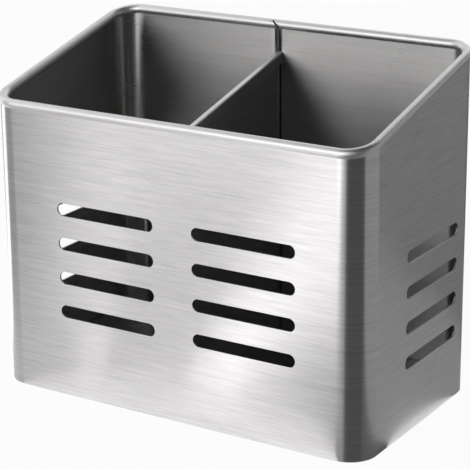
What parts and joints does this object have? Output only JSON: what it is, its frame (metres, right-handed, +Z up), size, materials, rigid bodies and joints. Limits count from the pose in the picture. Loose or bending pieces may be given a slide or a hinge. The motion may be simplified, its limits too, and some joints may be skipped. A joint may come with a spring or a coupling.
{
  "type": "utensil drainer basket",
  "caption": "Free-standing sheet-steel utensil drainer basket with a sloping rolled rim, an inner divider, drain slots and a raised perforated floor.",
  "frame": {"origin": "middle of the basket's footprint, on the surface that it stands on", "axes": "+Z up, +X along the width to the right as seen from the front, +Y from the low front to the high back"},
  "size_m": [0.1712, 0.1006, 0.1438],
  "materials": {
    "brushed_steel": "horizontal brushed grain",
    "weld_steel": "plain weld metal"
  },
  "bodies": {
    "root": {"wall_wrap": "brushed_steel", "divider": "brushed_steel", "floor_pan": "brushed_steel", "seam_welds": "weld_steel", "floor_welds": "weld_steel", "divider_welds": "weld_steel"}
  },
  "joints": []
}
